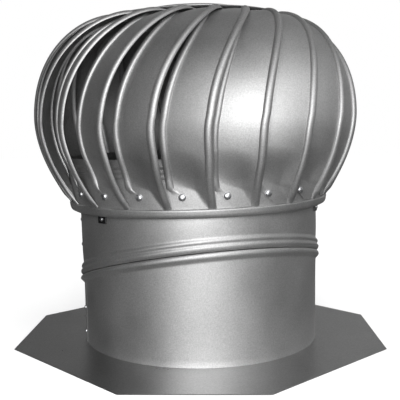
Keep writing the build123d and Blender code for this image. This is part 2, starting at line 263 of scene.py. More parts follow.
def tidy_mesh(mesh, crease_deg=38):
    """Merges doubled points, turns all faces outwards, and shades smoothly but for edges past the crease."""
    work = bmesh.new()
    work.from_mesh(mesh)
    bmesh.ops.remove_doubles(work, verts=work.verts, dist=1e-6)
    bmesh.ops.dissolve_degenerate(work, edges=work.edges, dist=1e-7)
    bmesh.ops.recalc_face_normals(work, faces=work.faces)
    work.to_mesh(mesh)
    work.free()
    mesh.shade_smooth()
    mesh.set_sharp_from_angle(angle=np.radians(crease_deg))


def turned(outline, steps=180):
    """The grid of a closed (radius, height) outline carried round the upright axis."""
    azimuth = np.linspace(0, FULL_TURN, steps, endpoint=False)[:, None]
    return polar(outline[:, 0], azimuth, outline[:, 1]), True, True


def place(piece, body, material, slot, *nodes):
    """Gives a piece its material and its body, and lets it stand for the nodes that it replaces. The slot is
    not used.
    """
    piece.data.materials.clear()
    piece.data.materials.append(material)
    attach(piece, body)
    if nodes:
        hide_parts(*nodes)


# -------------------- materials


def add_node(tree, kind, settings=None, inputs=None):
    """Adds a shader node; a tuple (node, output) in inputs is linked, and any other value is set."""
    node = tree.nodes.new(kind)
    for key, value in (settings or {}).items():
        setattr(node, key, value)
    for key, value in (inputs or {}).items():
        if isinstance(value, tuple) and isinstance(value[0], bpy.types.Node):
            tree.links.new(value[0].outputs[value[1]], node.inputs[key])
        else:
            node.inputs[key].default_value = value
    return node


def new_material(name):
    """A material with an empty node tree, and that tree."""
    material = bpy.data.materials.new(name)
    material.use_nodes = True
    material.node_tree.nodes.clear()
    return material, material.node_tree


def object_noise(tree, millimetres, detail, squash=None, **more):
    """Noise with features this many real millimetres apart; squash first scales each axis.

    Object coordinates are in metres, so the pattern's scale is 1000 over the millimetres.
    """
    here = add_node(tree, "ShaderNodeTexCoord"), "Object"
    if squash:
        here = add_node(tree, "ShaderNodeMapping", None, {"Vector": here, "Scale": squash}), "Vector"
    inputs = {"Vector": here, "Scale": 1000 / millimetres, "Detail": detail, **more}
    return add_node(tree, "ShaderNodeTexNoise", None, inputs), "Fac"


def ranged(tree, value, low, high, start=0.0, end=1.0, course="LINEAR"):
    """A value's range from start to end, mapped to low to high."""
    inputs = {"Value": value, "From Min": start, "From Max": end, "To Min": low, "To Max": high}
    return add_node(tree, "ShaderNodeMapRange", {"interpolation_type": course}, inputs), "Result"


def surfaced(tree, relief, depth, inputs):
    """Ends a material in a Principled shader whose surface is raised by a pattern, to a depth in metres."""
    bump = add_node(tree, "ShaderNodeBump", None, {"Height": relief, "Distance": depth})
    shader = add_node(tree, "ShaderNodeBsdfPrincipled", None, {**inputs, "Normal": (bump, "Normal")})
    add_node(tree, "ShaderNodeOutputMaterial", None, {"Surface": (shader, "BSDF")})


def coated_sheet(name, base, roughness):
    """Aluminium-zinc coated steel sheet with a satin, slightly pebbled skin.

    The coating sets in fine pebbles about a millimetre across, which break the gloss into a soft sparkle.
    Rolling and handling leave broad, faint clouds in colour and in gloss.
    """
    material, tree = new_material(name)
    cloud = object_noise(tree, 70, 4.0)
    grain = object_noise(tree, 1.4, 3.0, Roughness=0.6)
    tint = ranged(tree, cloud, 0.92, 1.05, 0.3, 0.7)
    fleck = ranged(tree, grain, 0.86, 1.14, 0.32, 0.68)
    shade = add_node(tree, "ShaderNodeMath", {"operation": "MULTIPLY"}, {0: tint, 1: fleck})
    inputs = {0: base[:3], "Scale": (shade, "Value")}
    mixed = add_node(tree, "ShaderNodeVectorMath", {"operation": "SCALE"}, inputs)
    gloss = ranged(tree, cloud, roughness - 0.04, roughness + 0.05, 0.25, 0.75)
    surfaced(tree, grain, 0.00012, {"Base Color": (mixed, "Vector"), "Metallic": 1.0, "Roughness": gloss})
    return material


def aluminium_rivet(name, base):
    """Aluminium of a blind rivet's head: cold-formed, so brighter and smoother than the sheet."""
    material, tree = new_material(name)
    marks = object_noise(tree, 1.2, 2.0)
    gloss = ranged(tree, marks, 0.3, 0.46)
    surfaced(tree, marks, 0.00005, {"Base Color": base, "Metallic": 1.0, "Roughness": gloss})
    return material


def stoved_enamel(name, base):
    """Black stoving enamel: a smooth coat with a faint orange peel."""
    material, tree = new_material(name)
    peel = object_noise(tree, 2.5, 1.0)
    gloss = ranged(tree, peel, 0.32, 0.45)
    surfaced(tree, peel, 0.00006, {"Base Color": base, "Roughness": gloss, "IOR": 1.5})
    return material


def zinc_plate(name, base):
    """Bright zinc plate on turned steel: fine tool marks round the axis give it drawn-out, level gleams."""
    material, tree = new_material(name)
    lines = object_noise(tree, 0.8, 2.0, squash=(0.05, 0.05, 1.0))
    gloss = ranged(tree, lines, 0.28, 0.45)
    surfaced(tree, lines, 0.00004, {"Base Color": base, "Metallic": 1.0, "Roughness": gloss})
    return material


# For each finish: the function that makes it, the material's name, and the sheets' roughness
FINISH_RECIPES = {
    "sheet": (coated_sheet, "aluminium_zinc_coated_sheet", 0.58),
    "flashing": (coated_sheet, "aluminium_zinc_coated_flashing", 0.30),
    "rivet": (aluminium_rivet, "cold_formed_aluminium_rivet"),
    "brace": (stoved_enamel, "black_stoving_enamel"),
    "plated": (zinc_plate, "bright_zinc_plated_steel"),
}


def finish(kind):
    """The material of a finish, made once from the scene's colours."""
    maker, name, *values = FINISH_RECIPES[kind]
    base = tuple(getattr(bpy.context.scene.ventilator_finishes, kind))
    return bpy.data.materials.get(name) or maker(name, base, *values)


# -------------------- vanes

VANE_PHASE = np.radians(10.5)
VANE_ROWS = 120
CROWN_ROWS = 6
SHEET_COLUMNS = 22
BEAD_COLUMNS = 12
FOOT_POWER = 1.8
# The strip's level end: its length inside the crown's edge, and how far progress runs on over it
CROWN_REACH = 0.009
CROWN_PROGRESS = 0.1
# Progress along a vane: -1 at its foot, 0 at the waist, 1 at the crown's edge, 1.1 at its end
SWEEP_KNOTS = (-1, -0.78, -0.42, 0, 0.267, 0.522, 0.767, 1.0, 1.1)
SWEEP_DEGREES = (2.7, 1.4, 0.8, 1.3, 5.3, 12.5, 21.5, 30.5, 34.0)
WIDTH_KNOTS = (-1, -0.4, 0.3, 1.1)
STEP_KNOTS = (-1, -0.6, 0, 0.4, 1.1)
STEP_BESIDE_WAIST = 0.9
# The sloping cut at the foot's rear corner: its height and its length
FOOT_CLIP_HEIGHT = 0.0225
FOOT_CLIP_LENGTH = 0.024
# Where the beads start and end: heights above the floor, a height above the foot, and rows below the end
INNER_BEAD_FROM = 0.202
INNER_BEAD_RUN = 0.016
FOOT_BEAD_SHARE = 0.45
FOOT_BEAD_RUN = 0.012
TOP_BEAD_LOSS = 0.75
TOP_BEAD_ROWS = 9
# The arched crease above the foot: its heights at shares of the width, and how the sheet comes off the ring
CREASE_SHARES = (0, 0.3, 0.9)
CREASE_HEIGHTS = (0.2095, 0.2115, 0.2000)
CREASE_RUN = 0.042
CREASE_TOP = 0.275
OUTER_EDGE_FROM = 0.58
OUTER_EDGE_RUN = 0.34
# The outward lean of the feet and of the ring under them, as a slope between two heights
FLARE_SLOPE = 0.09
FLARE_HEIGHTS = (0.186, 0.212)


def vane_meridian(sizes):
    """Radius, height and outward lean of the head's outline, from the vanes' feet to under the crown.

    Below the waist the radius falls with the power 1.8 of the way down. Above, the outline is a quarter of an
    ellipse from the waist to the crown's edge, and ends level, a little way inside that edge.
    """
    depth = sizes.waist_height - sizes.foot_height
    drop = sizes.head_radius - sizes.seat_radius - sizes.bead_height
    inset, rise = sizes.head_radius - sizes.crown_radius, sizes.crown_height - sizes.waist_height
    lower_rows = VANE_ROWS // 2
    share = np.linspace(1, 0, lower_rows, endpoint=False)
    turn = np.linspace(0, np.pi / 2, VANE_ROWS - lower_rows - CROWN_ROWS, endpoint=False)
    tail = np.linspace(0, CROWN_REACH, CROWN_ROWS)
    radius = np.concatenate(
        (sizes.head_radius - drop * share**FOOT_POWER, sizes.crown_radius + inset * np.cos(turn),
         sizes.crown_radius - tail)
    )
    height = np.concatenate(
        (sizes.waist_height - depth * share, sizes.waist_height + rise * np.sin(turn),
         np.full(CROWN_ROWS, sizes.crown_height))
    )
    lean = np.arctan2(-np.gradient(radius), np.gradient(height))
    progress = np.concatenate((-share, turn / (np.pi / 2), 1 + tail * CROWN_PROGRESS / CROWN_REACH))
    return radius, height, lean, progress


def vane_edge_lines(sizes):
    """The outer and inner edge lines of a vane, with its lean and height at each row.

    The outer edge lies on the head's outline, swept forward by a smooth curve. The inner edge lies one step
    inside it, and behind by the angle whose chord makes the strip as wide as its sheet.
    """
    radius, height, lean, progress = vane_meridian(sizes)
    sweep = np.radians(spline(progress, SWEEP_KNOTS, SWEEP_DEGREES))
    widths = (sizes.foot_width, sizes.vane_width, sizes.vane_width, sizes.top_width)
    width = spline(progress, WIDTH_KNOTS, widths)
    beside = STEP_BESIDE_WAIST * sizes.vane_step
    steps = (sizes.vane_step_foot, beside, sizes.vane_step, beside, sizes.vane_step_top)
    step = spline(progress, STEP_KNOTS, steps)
    above = np.clip(lean, 0, None)
    outer_radius = radius - sizes.bead_height * np.cos(lean)
    outer_height = height - sizes.bead_height * np.sin(above)
    inner_radius = outer_radius - step * np.cos(above)
    inner_height = outer_height - step * np.sin(above)
    least = np.where(lean < 0, sizes.seat_radius, 0)
    outer_radius, inner_radius = np.maximum(outer_radius, least), np.maximum(inner_radius, least)
    apart = outer_radius - inner_radius
    drop = outer_height - inner_height
    chord = np.sqrt(np.clip(width**2 - apart**2 - drop**2, 0, None) / (4 * outer_radius * inner_radius))
    behind = sweep - 2 * np.arcsin(chord)
    foot_clip = np.clip(1 - (height - sizes.foot_height) / FOOT_CLIP_HEIGHT, 0, None)
    behind = behind + foot_clip * FOOT_CLIP_LENGTH / sizes.seat_radius
    return polar(outer_radius, sweep, outer_height), polar(inner_radius, behind, inner_height), lean, height


def bead_lift(distance, width, height):
    """A rolled bead's height at a distance from the strip's edge: a rounded ridge on a base `width` wide."""
    across = np.clip(2 * distance / width - 1, -1, 1)
    return height * np.sqrt(1 - across**2)


def vane_surface(sizes):
    """Grids of the vane at azimuth 0: a loop of its outer and inner skins, and the two ends that close it.

    Across the strip, at a distance d from the inner edge, a point is the chord from the inner to the outer
    edge, lifted outwards by a shallow arch 4cd(w-d)/w^2 and by a rolled bead at each edge. Near the foot the
    sheet is drawn in, so that it lies flat on the ring below an arched crease.
    """
    outer, inner, lean, height = vane_edge_lines(sizes)
    span = outer - inner
    width = np.linalg.norm(span, axis=1)[:, None]
    bead_share = (1 - np.cos(np.linspace(0, np.pi, BEAD_COLUMNS + 1))) / 2
    flat = np.linspace(0, 1, SHEET_COLUMNS + 1)
    distance = np.concatenate(
        (
            bead_share * sizes.bead_width * np.ones_like(width),
            sizes.bead_width + (width - 2 * sizes.bead_width) * flat[1:-1],
            width - sizes.bead_width * (1 - bead_share),
        ),
        axis=1,
    )
    share = distance / width
    middle = unit((outer + inner) * (1, 1, 0))
    meridian = UP * np.cos(lean)[:, None] - middle * np.sin(lean)[:, None]
    out = unit(np.cross(unit(span), meridian))
    chord = inner[:, None] + span[:, None] * share[..., None]
    radius = np.linalg.norm(outer[:, :2], axis=1)[:, None]
    arch = 4 * share * (1 - share) * width**2 / (8 * radius)
    above = ease((height - INNER_BEAD_FROM) / INNER_BEAD_RUN)[:, None]
    inner_bead = bead_lift(distance, sizes.bead_width, sizes.bead_height) * above
    outer_bead = bead_lift(width - distance, sizes.bead_width, sizes.bead_height)
    foot_rise = ease((height - sizes.foot_height) / FOOT_BEAD_RUN)[:, None]
    foot_fade = FOOT_BEAD_SHARE + (1 - FOOT_BEAD_SHARE) * foot_rise
    to_end = np.arange(len(height))[:, None] - len(height) + 1
    top_fade = 1 - TOP_BEAD_LOSS * ease((to_end + TOP_BEAD_ROWS) / TOP_BEAD_ROWS)
    lift = (inner_bead + outer_bead * foot_fade) * top_fade
    sheet_line = laid_on_ring(sizes, chord + out[:, None] * arch[..., None], share, height)
    skin = sheet_line + out[:, None] * lift[..., None]
    under = skin - out[:, None] * sizes.sheet
    loop = np.concatenate((skin, under[:, ::-1]), axis=1), False, True
    return [loop] + [(np.stack((skin[row], under[row])), False, False) for row in (0, -1)]


def flared(radius, height):
    """A radius at a height of the flared ring: it grows evenly between the two heights, and then stands."""
    low, high = FLARE_HEIGHTS
    return radius + FLARE_SLOPE * np.clip(height - low, 0, high - low)


def laid_on_ring(sizes, points, share, height):
    """Draws the sheet in to the flared ring below the arched crease, apart from the rise to the outer bead.

    Above the crease the share of the way out is 1-(1-t)^2, with t the height over the crease by its run.
    """
    radius = np.linalg.norm(points[..., :2], axis=-1)
    seat = flared(sizes.seat_radius, height)[:, None]
    height = height[:, None]
    rise = np.clip((height - spline(share, CREASE_SHARES, CREASE_HEIGHTS)) / CREASE_RUN, 0, 1)
    edge = ease((share - OUTER_EDGE_FROM) / OUTER_EDGE_RUN)
    drawn = seat + (radius - seat) * (1 - (1 - rise) ** 2 * (1 - edge))
    scale = np.where(height < CREASE_TOP, np.maximum(drawn, seat), radius) / radius
    return points * np.stack((scale, scale, np.ones_like(scale)), axis=-1)


def about_axis(points, azimuth):
    """Points turned about the upright axis by an azimuth."""
    c, s = np.cos(azimuth), np.sin(azimuth)
    return points @ np.array(((c, s, 0), (-s, c, 0), (0, 0, 1)))


class AddVanes(bpy.types.Operator):
    """Adds the vanes: twisted strips with a rolled bead along both edges"""

    bl_idname = "ventilator.add_vanes"
    bl_label = "Vanes"

    def execute(self, context):
        sizes = context.scene.ventilator_head
        vane = vane_surface(sizes)
        for index, node in enumerate(VANE_NODES):
            azimuth = VANE_PHASE + index * FULL_TURN / len(VANE_NODES)
            grids = [(about_axis(points, azimuth), *wraps) for points, *wraps in vane]
            piece = add_mesh(f"rolled_{node}", pitched_grids(grids))
            place(piece, "rotor", finish("sheet"), "sheet", node)
        return {"FINISHED"}


# -------------------- ring, crown and cap

SWAGE_HEIGHTS = (0.2205, 0.2260, 0.2315)
SWAGE_RISE = 0.0009
SWAGE_RUN = 0.0011
# The bead at the ring's foot: its rise, inset and place, and the powers that make it flat-fronted
RING_BEAD_RISE = 0.0046
RING_BEAD_INSET = 0.0004
RING_BEAD_FOOT = 0.0018
RING_BEAD_POWERS = (0.8, 0.3)
RING_BEAD_TAPER = 0.25
RING_BAND_GAP = 0.0003
# How far the band's outer and inner skins lie inside the ring's radius, and how far its foot lies in and up
RING_SKINS = (0.0003, 0.0010)
RING_FOOT = (0.0014, 0.0006)
SHAFT_HOLE = 0.0061
CROWN_SHEET = 0.0010
CROWN_INSET = 0.0005
CROWN_BENDS = (0.0002, 0.00045, 0.00045, 0.0002)
CAP_RADIUS = 0.0655
CAP_RISE = 0.0102
CAP_SHEET = 0.0008
CAP_FLAT = 0.030
CAP_SLOPE = 0.0006
CAP_HEM = 0.0003
CAP_RIM = 0.0022
CAP_DOME = 0.010
# A hole or a bend too small to see, which keeps the outline open at the axis
PINHOLE = 0.00001
NO_BEND = 0.000001


class AddRing(bpy.types.Operator):
    """Adds the rotor's bottom ring: a deep band, flared with the vanes' feet, with a bead and three swages"""

    bl_idname = "ventilator.add_ring"
    bl_label = "Bottom ring"

    def execute(self, context):
        sizes = context.scene.ventilator_head
        half = sizes.ring_bead / 2
        angle = np.linspace(-0.5 * np.pi, 0.5 * np.pi, 25)
        up, out = RING_BEAD_POWERS
        middle = sizes.ring_bottom + RING_BEAD_FOOT + half
        bead_height = middle + half * np.sign(angle) * np.abs(np.sin(angle)) ** up
        taper = 1 - RING_BEAD_TAPER + RING_BEAD_TAPER * np.sin(angle)
        bead_rise = RING_BEAD_RISE * taper * np.cos(angle) ** out
        bead = np.stack((sizes.ring_radius - RING_BEAD_INSET + bead_rise, bead_height), axis=1)
        height = np.linspace(middle + half + RING_BAND_GAP, sizes.ring_top, 90)
        ridges = sum(SWAGE_RISE * np.exp(-(((height - at) / SWAGE_RUN) ** 2)) for at in SWAGE_HEIGHTS)
        wall = flared(sizes.ring_radius, height) + ridges
        band, inside = (np.stack((wall - skin, height), axis=1) for skin in RING_SKINS)
        foot = np.array(((sizes.ring_radius - RING_FOOT[0], sizes.ring_bottom + RING_FOOT[1]),))
        outline = np.concatenate((bead, band, inside[::-1], foot))
        piece = add_mesh("rolled_bottom_ring", pitched_grids([turned(outline, 240)]))
        place(piece, "rotor", finish("sheet"), "sheet", "bottom_ring")
        return {"FINISHED"}


class AddCrown(bpy.types.Operator):
    """Adds the crown plate with its rounded edge, and the shallow spun cap over its middle"""

    bl_idname = "ventilator.add_crown"
    bl_label = "Crown plate and cap"

    def execute(self, context):
        sizes = context.scene.ventilator_head
        low, edge = sizes.crown_height, sizes.crown_radius - CROWN_INSET
        seat = low + CROWN_SHEET
        plate = rounded(((SHAFT_HOLE, low), (edge, low), (edge, seat), (SHAFT_HOLE, seat)), CROWN_BENDS)
        piece = add_mesh("spun_crown_plate", pitched_grids([turned(plate, 220)]))
        place(piece, "rotor", finish("sheet"), "sheet", "crown_plate")
        top = seat + CAP_RISE
        under, inside = top - CAP_SHEET, CAP_RADIUS - CAP_SHEET
        cap = rounded(
            (
                (inside, seat), (CAP_RADIUS, seat), (CAP_RADIUS, top - CAP_SLOPE), (CAP_FLAT, top),
                (PINHOLE, top), (PINHOLE, under), (CAP_FLAT, under), (inside, under - CAP_SLOPE),
            ),
            (CAP_HEM, CAP_HEM, CAP_RIM, CAP_DOME, NO_BEND, NO_BEND, CAP_DOME, CAP_RIM - CAP_SHEET),
        )
        piece = add_mesh("spun_cap", pitched_grids([turned(cap, 160)]))
        place(piece, "rotor", finish("sheet"), "sheet", "cap")
        return {"FINISHED"}


# -------------------- collars

COLLAR_COLUMNS = 360
# Rows of a collar from the seam: up to the bead's crest, on to the seam's reach, and on to the rim
ROLL_ROWS, SPREAD_ROWS, PLAIN_ROWS = 14, 34, 22
LOWER_FOOT = 0.0009
LOWER_LAP = np.radians(-73)
UPPER_LAP = np.radians(-82)
LAP_EDGE = np.radians(0.35)
LAP_STEPS = np.radians(np.linspace(-0.5, 0.2, 8))
# Half the slot between the two beads, and how far from the seam its plane still sets the rows
SEAM_GAP = 0.00035
SEAM_REACH = 0.036
# A bead's least rise, and its share of the distance from the tube to the bead radius
BEAD_LEAST = 0.0016
BEAD_SHARE = 0.42
SHOULDER_SHARE = 0.72
SHOULDER_RUN = 0.0052
COLLAR_FLARE = 0.0014
COLLAR_FLARE_HEIGHT = 0.0030


def seam_plane_height(radius, azimuth):
    """Height at which the upright line at a radius and azimuth meets the plane of the seam."""
    return SEAM_CENTRE[2] + radius * np.cos(azimuth - SEAM_HEADING) * SEAM_RISE


def lap(azimuth, centre, half_width):
    """1 on a lap seam's doubled strip and 0 beside it, with edges a fraction of a degree wide."""
    apart = np.abs((azimuth - centre + np.pi) % FULL_TURN - np.pi)
    return ease((half_width - apart) / LAP_EDGE)


def collar_azimuths(lap_at, half_width):
    """Azimuths round a collar: even steps, with extra ones at the two edges of its lap seam."""
    even = np.linspace(0, FULL_TURN, COLLAR_COLUMNS, endpoint=False)
    edges = np.array((-1, 1)) * half_width + lap_at
    fine = (edges[:, None] + LAP_STEPS).ravel() % FULL_TURN
    return np.unique(np.concatenate((even, fine)))


def beaded(sizes, points, run, shoulder):
    """Rolls a bead into an upright tube beside the plane of the seam.

    The bead is a rise of the distance from the swivel axis. Between the plane and its crest it is a quarter
    of an ellipse, and past the crest it runs out as a raised cosine. A shoulder beside it, a lower raised
    cosine, may be added. The plane cuts the upright tube in an ellipse, so the bead is tall where that lies
    furthest inside the bead radius, and low where it nearly reaches it.
    """
    from_centre = points - SEAM_CENTRE
    along = from_centre @ SEAM_NORMAL
    spoke = from_centre - along[..., None] * SEAM_NORMAL
    reach = np.linalg.norm(spoke, axis=-1)
    apart = np.abs(along)
    crest = sizes.bead_crest
    near = np.sqrt(np.clip(1 - ((crest - apart) / (crest - SEAM_GAP)) ** 2, 0, 1))
    far = (1 + np.cos(np.pi * np.clip((apart - crest) / run, 0, 1))) / 2
    ridge = (1 + np.cos(np.pi * np.clip((apart - sizes.shoulder_height) / SHOULDER_RUN, -1, 1))) / 2
    rise = BEAD_LEAST + BEAD_SHARE * (sizes.bead_radius - reach[:, :1])
    moved = reach + rise * (np.where(apart < crest, near, far) + shoulder * ridge)
    return SEAM_CENTRE + along[..., None] * SEAM_NORMAL + spoke * (moved / reach)[..., None]


def collar_skin(sizes, radius, rim, side, run, lap_at):
    """A closed sheet tube from the seam, up (side 1) or down (side -1), to a level rim.

    Its rows follow the seam's plane at first, close together over the bead, and then even out to the rim. The
    inside is the outside less the sheet's thickness, and the lap adds one thickness to the outside. The tube
    narrows smoothly to the seam's radius, and the foot of the lower one flares a little.
    """
    half_lap = sizes.lap_width / 2 / radius
    azimuth = collar_azimuths(lap_at, half_lap)[:, None]
    seam = seam_plane_height(sizes.seam_radius, azimuth)
    crest = sizes.bead_crest
    roll = SEAM_GAP + (crest - SEAM_GAP) * (1 - np.cos(np.linspace(0, np.pi / 2, ROLL_ROWS)))
    spread = np.linspace(crest, SEAM_REACH, SPREAD_ROWS)[1:]
    near = side * np.concatenate((roll, spread)) / SEAM_NORMAL[2] + seam
    rest = near[:, -1:] + (rim - near[:, -1:]) * np.linspace(0, 1, PLAIN_ROWS)[1:]
    height = np.concatenate((near, rest), axis=1)
    narrowed = (radius - sizes.seam_radius) * ease(1 - np.abs(height - seam) / SEAM_REACH)
    flare = COLLAR_FLARE * np.clip(1 - height / COLLAR_FLARE_HEIGHT, 0, 1) ** 2 * (side < 0)
    tube = radius - narrowed + flare
    raised = sizes.collar_sheet * lap(azimuth, lap_at, half_lap)
    shoulder = SHOULDER_SHARE * (side > 0)
    outside = beaded(sizes, polar(tube, azimuth, height), run, shoulder) + polar(raised, azimuth, 0.0)
    inside = beaded(sizes, polar(tube - sizes.collar_sheet, azimuth, height), run, shoulder)
    return np.concatenate((outside, inside[:, ::-1]), axis=1), True, True


class AddCollars(bpy.types.Operator):
    """Adds the two collars, each a sheet tube with a lap seam and a bead along the sloping swivel seam"""

    bl_idname = "ventilator.add_collars"
    bl_label = "Collars"

    def execute(self, context):
        sizes = context.scene.ventilator_base
        lower = collar_skin(sizes, sizes.throat_radius, LOWER_FOOT, -1, sizes.lower_run, LOWER_LAP)
        piece = add_mesh("seamed_lower_collar", [lower])
        place(piece, "base", finish("sheet"), "sheet", "lower_collar")
        upper = collar_skin(sizes, sizes.collar_radius, sizes.collar_top, 1, sizes.upper_run, UPPER_LAP)
        piece = add_mesh("seamed_upper_collar", pitched_grids([upper]))
        place(piece, "swivel_collar", finish("sheet"), "sheet", "upper_collar")
        return {"FINISHED"}


# -------------------- flashing

FLASHING_COLUMNS = 240
PLATE_ROWS = 14
NECK_GAP = 0.0001
NECK_BEND = 0.0010
# How many sheet thicknesses outside the bore the fillet at the neck's foot ends
FOOT_BESIDE_BORE = 2.4
# The round of the outer edge, and where the flat rows end before it
EDGE_ROUND = 0.0003
EDGE_FLAT = 0.0004


class AddFlashing(bpy.types.Operator):
    """Adds the flashing: a square sheet with clipped corners and a turned-up neck"""

    bl_idname = "ventilator.add_flashing"
    bl_label = "Flashing"

    def execute(self, context):
        sizes = context.scene.ventilator_base
        half, clip = sizes.flashing_width / 2, sizes.flashing_clip
        corners = np.array([(half, clip - half), (half, half - clip)])
        quarter = np.arange(4)[:, None] * np.pi / 2
        exact = (np.arctan2(corners[:, 0], -corners[:, 1]) + quarter).ravel() % FULL_TURN
        even = np.linspace(0, FULL_TURN, FLASHING_COLUMNS, endpoint=False)
        azimuth = np.unique(np.round(np.concatenate((even, exact)), 9))[:, None]
        toward_side = half / np.cos((azimuth + np.pi / 4) % (np.pi / 2) - np.pi / 4)
        toward_clip = (2 * half - clip) / np.sqrt(2) / np.cos(azimuth % (np.pi / 2) - np.pi / 4)
        reach = np.minimum(toward_side, toward_clip)
        sheet, neck = sizes.collar_sheet, sizes.neck_height
        bore = sizes.throat_radius - NECK_GAP - 2 * sheet
        wall, foot = bore + sheet, bore + FOOT_BESIDE_BORE * sheet
        fillet = rounded(((wall, neck), (wall, sheet), (foot, sheet)), NECK_BEND, 5, False)
        share = np.linspace(0, 1, PLATE_ROWS)[1:-1]
        inner_edge = reach - EDGE_ROUND
        outline = (
            (fillet[:, 0], fillet[:, 1]), (foot + (reach - EDGE_FLAT - foot) * share, sheet),
            (inner_edge, sheet), (reach, sheet - EDGE_ROUND), (reach, EDGE_ROUND), (inner_edge, 0),
            (bore, np.array((0, neck))),
        )
        around = np.zeros_like(azimuth)
        parts = [np.broadcast_arrays(radius + around, height) for radius, height in outline]
        radius, height = (np.concatenate(part, axis=1) for part in zip(*parts))
        piece = add_mesh("cut_flashing", [(polar(radius, azimuth, height), True, True)])
        place(piece, "base", finish("flashing"), "flashing_sheet", "flashing")
        return {"FINISHED"}


# -------------------- rivets

RIVET_BEHIND = np.radians(-10.2)
RIVET_HEIGHT = 0.1990
RIVET_GAP = 0.0001
ARM_RIVET_OUT = 0.0022
RIVET_LIP = 0.0002
DOME_POWER = 0.8
# The radius and the height of a head
RIVET_SIZE = (0.0043, 0.0028)
SMALL_RIVET_SIZE = (0.0025, 0.0017)
LOWER_RIVET_HEIGHTS = (0.014, 0.045)
UPPER_RIVET_HEIGHTS = (0.125, 0.158)
ARM_AZIMUTHS = np.radians((-41.0, 79.0, 199.0))
ARM_RIVET_HEIGHT = 0.170


def rivet_heads(size, radius, azimuths, heights):
    """Domed heads that face outwards at each azimuth.

    Each is a dome of revolution: over a quarter turn u its radius is R cos^0.8(u), and its height climbs with
    sin(u) from a low lip to its full rise.
    """
    head, rise = size
    climb = np.linspace(0, np.pi / 2, 9)
    ring_radius = np.concatenate(((1e-6, head), head * np.cos(climb[:-1]) ** DOME_POWER, (1e-6,)))
    dome = RIVET_LIP + (rise - RIVET_LIP) * np.sin(climb[:-1])
    lift = np.concatenate(((-RIVET_LIP, -RIVET_LIP), dome, (rise,)))
    turn = np.linspace(0, FULL_TURN, 20, endpoint=False)[:, None, None]
    grids = []
    for azimuth, height in np.broadcast(azimuths, heights):
        outward = polar(1.0, azimuth, 0.0)
        sideways = polar(1.0, azimuth + np.pi / 2, 0.0)
        spoke = sideways * np.cos(turn) + UP * np.sin(turn)
        centre = polar(radius, azimuth, height)
        grids.append((centre + spoke * ring_radius[:, None] + outward * lift[:, None], True, False))
    return grids


class AddRivets(bpy.types.Operator):
    """Adds the domed rivet heads of the vanes, the lap seams and the brace arms"""

    bl_idname = "ventilator.add_rivets"
    bl_label = "Rivets"

    def execute(self, context):
        head, base = context.scene.ventilator_head, context.scene.ventilator_base
        feet = VANE_PHASE + RIVET_BEHIND + np.arange(len(VANE_NODES)) * FULL_TURN / len(VANE_NODES)
        vane_seat = flared(head.seat_radius, RIVET_HEIGHT) + RIVET_GAP
        lower_seat = base.throat_radius + base.collar_sheet + RIVET_GAP
        upper_seat = base.collar_radius + base.collar_sheet + RIVET_GAP
        arm_seat = base.collar_radius + ARM_RIVET_OUT
        small = SMALL_RIVET_SIZE
        for node, body, size, seat, azimuths, heights in (
            ("vane_rivets", "rotor", RIVET_SIZE, vane_seat, feet, RIVET_HEIGHT),
            ("lower_seam_rivets", "base", small, lower_seat, LOWER_LAP, LOWER_RIVET_HEIGHTS),
            ("upper_seam_rivets", "swivel_collar", small, upper_seat, UPPER_LAP, UPPER_RIVET_HEIGHTS),
            ("brace_rivets", "swivel_collar", small, arm_seat, ARM_AZIMUTHS, ARM_RIVET_HEIGHT),
        ):
            heads = rivet_heads(size, seat, azimuths, heights)
            piece = add_mesh(f"domed_{node}", heads if body == "base" else pitched_grids(heads))
            place(piece, body, finish("rivet"), "rivets", node)
        return {"FINISHED"}


# -------------------- brace

ARM_WIDTH = 0.015
ARM_SHEET = 0.002
ARM_GAP = 0.0001
ARM_INSIDE_GAP = 0.0005
ARM_EDGE_ROUND = 0.0005
HOUSING_RADIUS = 0.0135
# Heights along an arm: its end outside the collar, its bend inside, and its two ends at the housing
ARM_HEIGHTS = (0.165, 0.177, 0.196, 0.214)
ARM_BENDS = (0.001, 0.0011, 0.0011, 0.004, 0.004, 0.001)


class AddBrace(bpy.types.Operator):
    """Adds the three brace arms: strips hooked over the upper collar and carried to the bearing housing"""

    bl_idname = "ventilator.add_brace"
    bl_label = "Brace arms"

    def execute(self, context):
        base = context.scene.ventilator_base
        half, thick = ARM_WIDTH / 2, ARM_SHEET / 2
        outside = base.collar_radius + ARM_GAP + thick
        inside = np.sqrt((base.collar_radius - base.collar_sheet) ** 2 - half**2) - ARM_INSIDE_GAP - thick
        over = base.collar_top + ARM_GAP + thick
        hub = HOUSING_RADIUS + ARM_GAP + thick
        end, bend, low, high = ARM_HEIGHTS
        corners = ((outside, end), (outside, over), (inside, over), (inside, bend), (hub, low), (hub, high))
        path = rounded(corners, ARM_BENDS, 6, False)
        way = unit(np.gradient(path, axis=0))
        across = np.stack((-way[:, 1], way[:, 0]), axis=1)
        edges = ((-half, -thick), (half, -thick), (half, thick), (-half, thick))
        section = rounded(edges, ARM_EDGE_ROUND, 3)
        line = path[:, None] + across[:, None] * section[:, 1:]
        for index, azimuth in enumerate(ARM_AZIMUTHS):
            outward, sideways = polar(1.0, azimuth, 0.0), polar(1.0, azimuth + np.pi / 2, 0.0)
            grid = outward * line[..., :1] + UP * line[..., 1:] + sideways * section[:, :1]
            grids = [(grid, False, True)]
            for edge in (grid[0], grid[-1]):
                grids.append((np.stack((edge, np.broadcast_to(edge.mean(0), edge.shape))), False, True))
            piece = add_mesh(f"enamelled_brace_arm_{index + 1}", pitched_grids(grids))
            place(piece, "swivel_collar", finish("brace"), "brace", f"brace_arm_{index + 1}")
        return {"FINISHED"}


